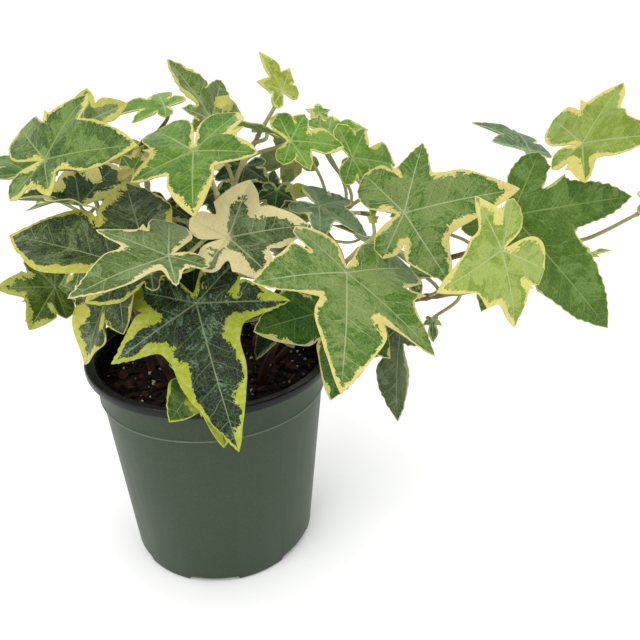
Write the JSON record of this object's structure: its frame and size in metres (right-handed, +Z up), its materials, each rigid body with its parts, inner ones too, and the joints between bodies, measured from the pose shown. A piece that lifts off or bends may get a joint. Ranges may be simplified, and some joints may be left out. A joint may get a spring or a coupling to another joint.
{
  "type": "potted english ivy",
  "caption": "Variegated english ivy with lobed green leaves edged in cream and gold, on slender leafy stems rooted in a round plastic nursery pot of peat.",
  "frame": {"origin": "centre of the pot's flat underside, on the surface that it rests on", "axes": "+Z up out of the pot, +X to the right in the picture, where the longest shoots reach, -Y towards the viewer"},
  "size_m": [0.3046, 0.1884, 0.2305],
  "materials": {
    "pot_plastic": "moulded polypropylene, dark green, satin, with a glossier lip",
    "peat": "crumbled, matt, nearly black brown with white perlite",
    "ivy": "waxy leaves, green with cream and gold margins; reddish brown stems"
  },
  "bodies": {
    "root": {"pot": "pot_plastic", "soil": "peat", "stem_left": "ivy", "stem_front_left": "ivy", "stem_front": "ivy", "stem_middle": "ivy", "stem_centre_left": "ivy", "stem_right_front": "ivy", "stem_right": "ivy", "stem_far_right": "ivy", "stem_back_right": "ivy", "stem_back": "ivy", "stem_back_left": "ivy"}
  },
  "joints": []
}
